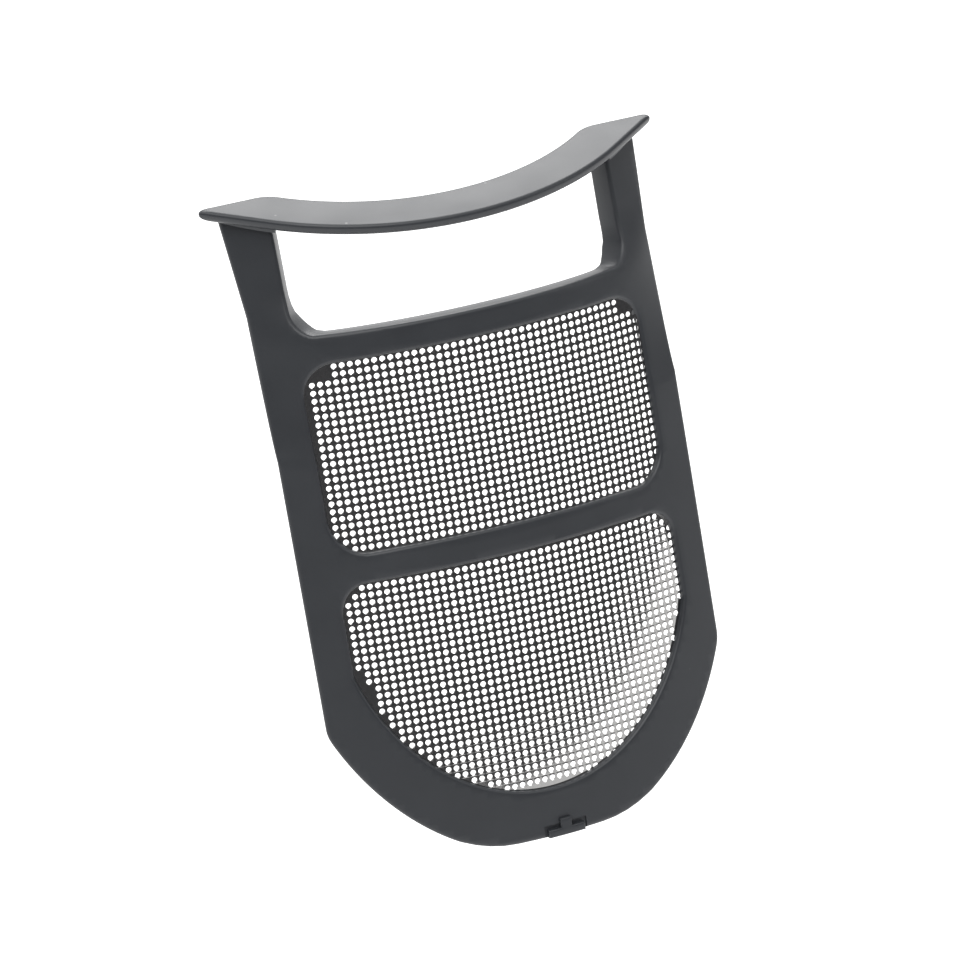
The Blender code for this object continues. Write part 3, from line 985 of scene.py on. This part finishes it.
    def bowl(self, grow: float, top: float, corner: float) -> list[Point]:
        """Return an outline with a level top, straight sides and a round bottom.

        Args:
            grow: How much wider than the windows it is, all round.
            top: The height of its top.
            corner: The radius of its upper corners.

        Returns:
            The outline's points.
        """
        half, radius = self.window_half + grow, self.lower_radius + grow
        low = math.atan2(-math.sqrt(radius**2 - half**2), half)
        bottom = self.drawing.arc((0.0, -self.lower_centre), radius, -math.pi - low, low)
        plain = [(x, y, 0.0) for x, y in bottom]
        return self.drawing.rounded(self.level_edge(half, top, corner) + plain)

    def behind_windows(self, lap: float) -> list[Point]:
        """Return the outline that laps round both windows, as the sheet and the recess behind it do."""
        return self.bowl(lap, lap - self.upper_top, self.recess_round)

    def recess(self) -> bpy.types.Object:
        """Model the solid that cuts the recess in the frame's back, round the sheet.

        Returns:
            The solid, flat in the drawing.
        """
        wall = self.cone.wall
        flat = slab("recess", [self.behind_windows(self.recess_lap)], wall)
        return stand_up(flat, self.recess_depth, wall)

    def fill_corner(self, place: Vector) -> Vector:
        """Round the finger opening's lower corners wider towards the back of the wall.

        Args:
            place: A place of the flat drawing: across, the depth behind the front face, and the height.

        Returns:
            The place, moved into the opening if it lies on a corner's wall.
        """
        x, depth, height = place
        near = self.sill_round
        wide = near + (self.sill_round_behind - near) * clamped(depth / self.cone.wall)
        across = wide - self.opening_half + abs(x)
        above = wide - height + self.cone.row_height(x, -self.cone.sill)
        if min(across, above) <= 0.0:
            return place
        reach = math.hypot(across, above)
        share = min(across, above) / max(across, above)
        edge = wide * math.hypot(1.0, share)
        if wide * (1.0 - share) < near:
            middle = (wide - near) * (across + above) / reach
            edge = middle + math.sqrt(middle**2 - 2 * (wide - near) ** 2 + near**2)
        fade = clamped(1.0 - (reach - edge) / self.corner_fade)
        move = (edge - wide) * fade / reach
        return Vector((math.copysign(abs(x) - across * move, x), depth, height + above * move))

    def slope_heads(self, item: bpy.types.Object) -> None:
        """Slope the stiles' heads down behind the plate's back edge.

        Args:
            item: The frame, wrapped and in millimetres.
        """
        start = self.plate.back - self.plate.under_round / 2
        level = -self.plate.thickness + self.stile_in_plate / 2
        wall = self.cone.wall
        run = 2 * wall + self.cone.roll
        drop = run * math.tan(self.head_slope)
        profile = [(start, level), (start + run, level - drop), (start + run, wall), (start, wall)]
        width = 2 * self.cone.half_width
        rings = [[Vector((x, y, z)) for y, z in profile] for x in (-width, width)]
        combine(item, Operation.CUT, loft("head_slope", rings))

    def build(self) -> bpy.types.Object:
        """Model, dress and seat the frame.

        Returns:
            The finished piece.
        """
        wall = self.cone.wall
        lower_window = self.bowl(0.0, -self.lower_top, self.window_round)
        outlines = [self.outline(), self.upper_window(), lower_window]
        item = stand_up(slab("frame_moulding", outlines, wall, self.edge_round, self.edge_steps), 0.0, wall)
        combine(item, Operation.CUT, self.recess())
        combine(item, Operation.CUT, self.catch.pocket(self.foot, wall))
        combine(item, Operation.JOIN, self.catch.build(self.foot, self.edge_round))
        divide(item, Axis.ACROSS, self.facet)
        divide(item, Axis.UP, self.facet)
        edit(item)
        bpy.ops.mesh.quads_convert_to_tris()
        close_edit()
        place_vertices(item, lambda place: self.cone.wrap(self.fill_corner(place)))
        self.slope_heads(item)
        for side in (1, -1):
            combine(item, Operation.JOIN, self.plate.seat(side, self.opening_half))
        combine(item, Operation.JOIN, self.plate.build())
        edit(item)
        bpy.ops.mesh.dissolve_degenerate(threshold=SLIVER)
        close_edit()
        place_vertices(item, lambda place: place * MM)
        pick(item)
        bpy.ops.object.shade_smooth_by_angle(angle=self.smooth_angle)
        item.data.materials.clear()
        item.data.materials.append(self.finish.material())
        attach(item, BODY)
        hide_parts("moulded_frame")
        return item


@dataclass
class PerforatedSheet:
    """The steel sheet behind the windows, with its square field of round holes."""

    moulding: MouldedFrame
    finish: SheetSteel = field(default_factory=SheetSteel)
    setback: float = 0.75
    thickness: float = 0.14
    pitch: float = 1.0
    hole: float = 0.72
    hole_sides: int = 16
    lap: float = 1.2
    lattice_u: float = 0.356
    lattice_v: float = 17.025
    lattice_turn: float = 0.0037
    columns: int = 22
    upper_rows: int = 24
    hidden_rows: int = 4
    lower_rows: int = 30
    margin: int = 3
    short_first: tuple[int, ...] = (3, 3)
    short_last: tuple[int, ...] = (1, 2)
    short_lower: tuple[int, ...] = (2, 1)
    weld: float = 0.001
    corner_slack: float = 0.01
    bowl_centre: float = 50.0
    bowl_start: float = 5.7
    bowl_lean: float = 0.02
    bowl_reach: float = 21.42
    bowl_growth: float = 0.142

    def __post_init__(self) -> None:
        """Work out the counts that follow from the sizes, and by how many holes each row falls short."""
        self.first_lower = self.upper_rows + self.hidden_rows
        self.rows = self.first_lower + self.lower_rows
        self.short = dict(enumerate(self.short_first))
        self.short |= dict(enumerate(self.short_last, self.upper_rows - len(self.short_last)))
        self.short |= dict(enumerate(self.short_lower, self.first_lower))

    def centre(self, column: float, row: float) -> Point:
        """Place a cell of the lattice on the flat sheet.

        Args:
            column: The cell's column, from the middle.
            row: The cell's row, from the upper window's first row of holes.

        Returns:
            The cell's place across the sheet, and down it.
        """
        x, y = column * self.pitch, row * self.pitch
        turn = self.lattice_turn
        u = self.lattice_u + x * math.cos(turn) - y * math.sin(turn)
        v = self.lattice_v + x * math.sin(turn) + y * math.cos(turn)
        return u, v

    def perforated(self, column: int, row: int) -> bool:
        """Tell whether a cell has a hole.

        Args:
            column: The cell's column, from the middle.
            row: The cell's row, from the upper window's first row of holes.

        Returns:
            True where the cell has a hole.
        """
        if row < 0 or row >= self.rows or abs(column) > self.columns - self.short.get(row, 0):
            return False
        if row < self.first_lower:
            return row < self.upper_rows
        u, v = self.centre(column, row)
        below = v - self.bowl_centre
        if below < self.bowl_start + self.bowl_lean * u:
            return True
        return math.hypot(u - self.lattice_u, below) < self.bowl_reach + self.bowl_growth * below

    def outline(self) -> list[Vector]:
        """Return the sheet's own outline, unrolled flat."""
        moulding = self.moulding
        return [Vector(moulding.cone.flattened(x, y)) for x, y in moulding.behind_windows(self.lap)]

    def cell_at(self, place: Vector) -> tuple[int, int]:
        """Return the column and row of the cell that a place of the flat sheet lies in."""
        return round(place.x / self.pitch), round(-place.y / self.pitch)

    def holed_cell(self) -> bpy.types.Object:
        """Model one square of the sheet with its round hole: a circle, extruded to the square's sides.

        Returns:
            The cell, flat and centred on its own origin.
        """
        deselect_all()
        bpy.ops.mesh.primitive_circle_add(vertices=self.hole_sides, radius=self.hole / 2)
        item = bpy.context.object
        item.name = "holed_cell"
        edit(item)
        bpy.ops.mesh.extrude_edges_move()
        close_edit()
        half, above = self.pitch / 2, self.weld
        for vertex in item.data.vertices:
            if vertex.select:
                x, y, _ = vertex.co
                vertex.co = (math.copysign(half, x + above), math.copysign(half, y + above), 0.0)
        edit(item)
        bpy.ops.mesh.remove_doubles(threshold=self.weld)
        close_edit()
        return item

    def plain_cell(self) -> bpy.types.Object:
        """Model one square of the sheet without a hole.

        Returns:
            The cell, flat and centred on its own origin.
        """
        deselect_all()
        bpy.ops.mesh.primitive_plane_add(size=self.pitch)
        item = bpy.context.object
        item.name = "plain_cell"
        return item

    def repeat(self, item: bpy.types.Object, cells: set[tuple[int, int]]) -> bpy.types.Object:
        """Copy a cell over the whole field and keep it in some places only.

        Args:
            item: The cell, centred on its own origin.
            cells: The columns and rows where it is kept.

        Returns:
            The same object, with all its copies.
        """
        first = -self.columns - self.margin, -self.margin
        counts = 1 - 2 * first[0], self.rows + 2 * self.margin
        start = Vector((first[0] * self.pitch, -first[1] * self.pitch, 0.0))
        place_vertices(item, lambda place: place + start)
        even = {"use_relative_offset": False, "use_constant_offset": True}
        for count, step in zip(counts, ((self.pitch, 0.0, 0.0), (0.0, -self.pitch, 0.0))):
            modify(item, "ARRAY", count=count, constant_offset_displace=step, **even)
        select_faces(item, lambda face: self.cell_at(face.center) not in cells)
        bpy.ops.mesh.delete(type="FACE")
        close_edit()
        return item

    def trim(self, item: bpy.types.Object, cells: set[tuple[int, int]], outline: list[Vector]) -> None:
        """Move the corners of the sheet's outermost cells on to its outline.

        Args:
            item: The flat sheet.
            cells: The columns and rows of all its cells.
            outline: The sheet's outline, unrolled flat.
        """
        for vertex in item.data.vertices:
            corner = vertex.co / self.pitch + Vector((0.5, 0.5, 0.0))
            column, row = round(corner.x), round(corner.y)
            if math.dist(corner[:2], (column, row)) > self.corner_slack:
                continue
            around = {(column - across, -row + down) for across in (0, 1) for down in (0, 1)}
            if around <= cells:
                continue
            place = Vector(self.centre(vertex.co.x / self.pitch, -vertex.co.y / self.pitch))
            near = [nearest(place, start, end) for start, end in zip(outline, outline[1:] + outline[:1])]
            goal = min(near, key=lambda each: (each - place).length)
            shift = (goal - place) / self.pitch
            turn = self.lattice_turn
            vertex.co.x += shift.x * math.cos(turn) + shift.y * math.sin(turn)
            vertex.co.y -= shift.y * math.cos(turn) - shift.x * math.sin(turn)

    def build(self) -> bpy.types.Object:
        """Model, dress and seat the sheet: two cells repeated over it flat, made solid, and rolled up.

        Returns:
            The finished piece.
        """
        outline = self.outline()
        columns = range(-self.columns - self.margin, self.columns + self.margin + 1)
        rows = range(-self.margin, self.rows + self.margin)
        cells = {(a, b) for a in columns for b in rows if encloses(outline, Vector(self.centre(a, b)))}
        holed = {cell for cell in cells if self.perforated(*cell)}
        plain = self.repeat(self.plain_cell(), cells - holed)
        item = self.repeat(self.holed_cell(), holed)
        item.name = "steel_sheet"
        pick(item)
        plain.select_set(True)
        bpy.ops.object.join()
        edit(item)
        bpy.ops.mesh.remove_doubles(threshold=self.weld)
        bpy.ops.mesh.normals_make_consistent(inside=False)
        close_edit()
        self.trim(item, cells, outline)
        modify(item, "SOLIDIFY", thickness=self.thickness, offset=0.0)
        place_vertices(item, self.roll_up)
        face_outward(item)
        item.data.materials.clear()
        item.data.materials.append(self.finish.material())
        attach(item, BODY)
        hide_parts("perforated_sheet")
        LOG.info("holes: %d", len(holed))
        return item

    def roll_up(self, place: Vector) -> Vector:
        """Return where a vertex of the flat, solid sheet lies in the kettle, in metres."""
        u, v = self.centre(place.x / self.pitch, -place.y / self.pitch)
        return self.moulding.cone.unrolled(u, v, self.setback + self.thickness / 2 - place.z) * MM


@dataclass(frozen=True)
class Softbox:
    """A square soft light that faces the object, in metres and watts."""

    name: str
    place: tuple[float, float, float]
    size: float
    power: float

    def hang(self, aim: Vector) -> None:
        """Hang the light.

        Args:
            aim: The place that it faces.
        """
        deselect_all()
        where = Vector(self.place)
        turn = (aim - where).to_track_quat("-Z", "Y").to_euler()
        bpy.ops.object.light_add(type="AREA", location=where, rotation=turn)
        lamp = bpy.context.object
        lamp.name = self.name
        lamp.data.shape = "SQUARE"
        lamp.data.size = self.size
        lamp.data.energy = self.power


@dataclass(frozen=True)
class DarkScreen:
    """A dark round screen in front of the object, which only the steel and the plastic reflect.

    Its lower edge slopes, so that the steel mirrors the bright room under it in the lower right corner.
    """

    radius: float = 1.2
    centre: tuple[float, float, float] = (0.0, -0.02, -0.055)
    sides: int = 180
    back_end: float = 0.35
    edge: float = 0.070
    slope_from: float = math.radians(2.0)
    slope_to: float = math.radians(57.0)
    slope: float = 0.086
    foot: float = -0.10
    height: float = 1.1
    colour: Colour = (0.09, 0.09, 0.094)

    def lower_edge(self, turn: float) -> float:
        """Return the height of the screen's lower edge.

        Args:
            turn: The angle from the front towards the right.

        Returns:
            The height, from the screen's centre.
        """
        if turn >= self.slope_to:
            return self.foot
        return self.edge - self.slope * max(0.0, turn - self.slope_from)

    def build(self) -> None:
        """Stand the screen up."""
        deselect_all()
        size = {"vertices": self.sides, "radius": self.radius}
        bpy.ops.mesh.primitive_cylinder_add(**size, end_fill_type="NOTHING", location=self.centre)
        screen = bpy.context.object
        screen.name = "dark_screen"
        select_faces(screen, lambda face: face.center.y > self.radius * self.back_end)
        bpy.ops.mesh.delete(type="FACE")
        close_edit()
        for vertex in screen.data.vertices:
            turn = math.atan2(vertex.co.x, -vertex.co.y)
            vertex.co.z = self.height if vertex.co.z > 0 else self.lower_edge(turn)
        looks = {"Base Color": (*self.colour, 1.0), "Roughness": 1.0, "Specular IOR Level": 0.0}
        screen.data.materials.append(new_material("dark_screen", looks))
        screen.visible_camera = False
        screen.visible_diffuse = False
        screen.visible_shadow = False


@dataclass
class Studio:
    """A plain pale floor, soft light and the camera at the photograph's angle."""

    floor_level: float = -0.16
    floor_size: float = 6.0
    floor_colour: Colour = (0.8, 0.8, 0.8)
    floor_roughness: float = 0.9
    floor_glow: float = 0.6
    world_strength: float = 0.62
    azimuth: float = math.radians(-21.305)
    elevation: float = math.radians(34.616)
    roll: float = math.radians(-1.076)
    camera_place: tuple[float, float, float] = (-0.162921, -0.424749, 0.271968)
    focal_pixels: float = 4354.4
    long_side: int = 971
    sensor: float = 36.0
    clip_start: float = 0.01
    aim: tuple[float, float, float] = (0.0, 0.0, -0.035)
    softboxes: tuple[Softbox, ...] = (
        Softbox("back_softbox", (0.30, 0.80, 0.62), size=0.7, power=7.9),
        Softbox("top_softbox", (-0.35, -0.35, 1.0), size=0.8, power=6.0),
        Softbox("side_softbox", (0.75, -0.38, 0.38), size=0.35, power=0.75),
    )
    screen: DarkScreen = field(default_factory=DarkScreen)

    def floor(self) -> None:
        """Lay the floor: white to the camera where it is lit, with the object's soft shadow kept."""
        deselect_all()
        bpy.ops.mesh.primitive_plane_add(size=self.floor_size, location=(0.0, 0.0, self.floor_level))
        item = bpy.context.object
        item.name = "studio_floor"
        looks = {"Base Color": (*self.floor_colour, 1.0), "Roughness": self.floor_roughness}
        material = new_material("pale_floor", looks | {"Specular IOR Level": 0.0})
        tree = material.node_tree
        path = add_node(tree, "LightPath", {})
        seen = larger(tree, path.outputs["Is Camera Ray"], path.outputs["Is Glossy Ray"])
        glow = add_node(tree, "Math", {0: seen, 1: self.floor_glow}, operation="MULTIPLY").outputs["Value"]
        plugs = {"Emission Color": (1.0, 1.0, 1.0, 1.0), "Emission Strength": glow}
        plug_in(tree, tree.nodes["Principled BSDF"], plugs)
        item.data.materials.append(material)

    def world(self) -> None:
        """Light the scene evenly, with a white background for the camera, metal and glass."""
        world = bpy.data.worlds.new("studio")
        world.use_nodes = True
        bpy.context.scene.world = world
        tree = world.node_tree
        path = add_node(tree, "LightPath", {})
        seen = larger(tree, path.outputs["Is Camera Ray"], path.outputs["Is Glossy Ray"])
        seen = larger(tree, seen, path.outputs["Is Transmission Ray"])
        strength = add_node(tree, "MapRange", {"To Min": self.world_strength, "To Max": 1.0, "Value": seen})
        plugs = {"Color": (1.0, 1.0, 1.0, 1.0), "Strength": strength.outputs["Result"]}
        plug_in(tree, tree.nodes["Background"], plugs)

    def camera(self) -> None:
        """Stand the camera where the photograph was taken from."""
        deselect_all()
        bpy.ops.object.camera_add()
        camera = bpy.context.object
        camera.name = "photograph_view"
        a, e = self.azimuth, self.elevation
        back = Vector((math.sin(a) * math.cos(e), -math.cos(a) * math.cos(e), math.sin(e)))
        level = Vector((math.cos(a), math.sin(a), 0.0))
        right = level * math.cos(self.roll) + back.cross(level) * math.sin(self.roll)
        matrix = Matrix((right, back.cross(right), back)).transposed().to_4x4()
        matrix.translation = self.camera_place
        camera.matrix_world = matrix
        camera.data.sensor_width = self.sensor
        camera.data.lens = self.focal_pixels * self.sensor / self.long_side
        camera.data.clip_start = self.clip_start
        bpy.context.scene.camera = camera

    def build(self) -> None:
        """Set up the whole studio."""
        self.camera()
        self.floor()
        self.world()
        for softbox in self.softboxes:
            softbox.hang(Vector(self.aim))
        self.screen.build()
        bpy.context.scene.view_settings.view_transform = "Standard"


def main() -> None:
    """Build every piece, in order, and report it."""
    logging.basicConfig(level=logging.INFO, format="%(message)s")
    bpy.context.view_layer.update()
    Studio().build()
    moulding = MouldedFrame()
    for item in (moulding.build(), PerforatedSheet(moulding).build()):
        LOG.info("%s: %d faces", item.name, len(item.data.polygons))


if __name__ == "__main__":
    main()
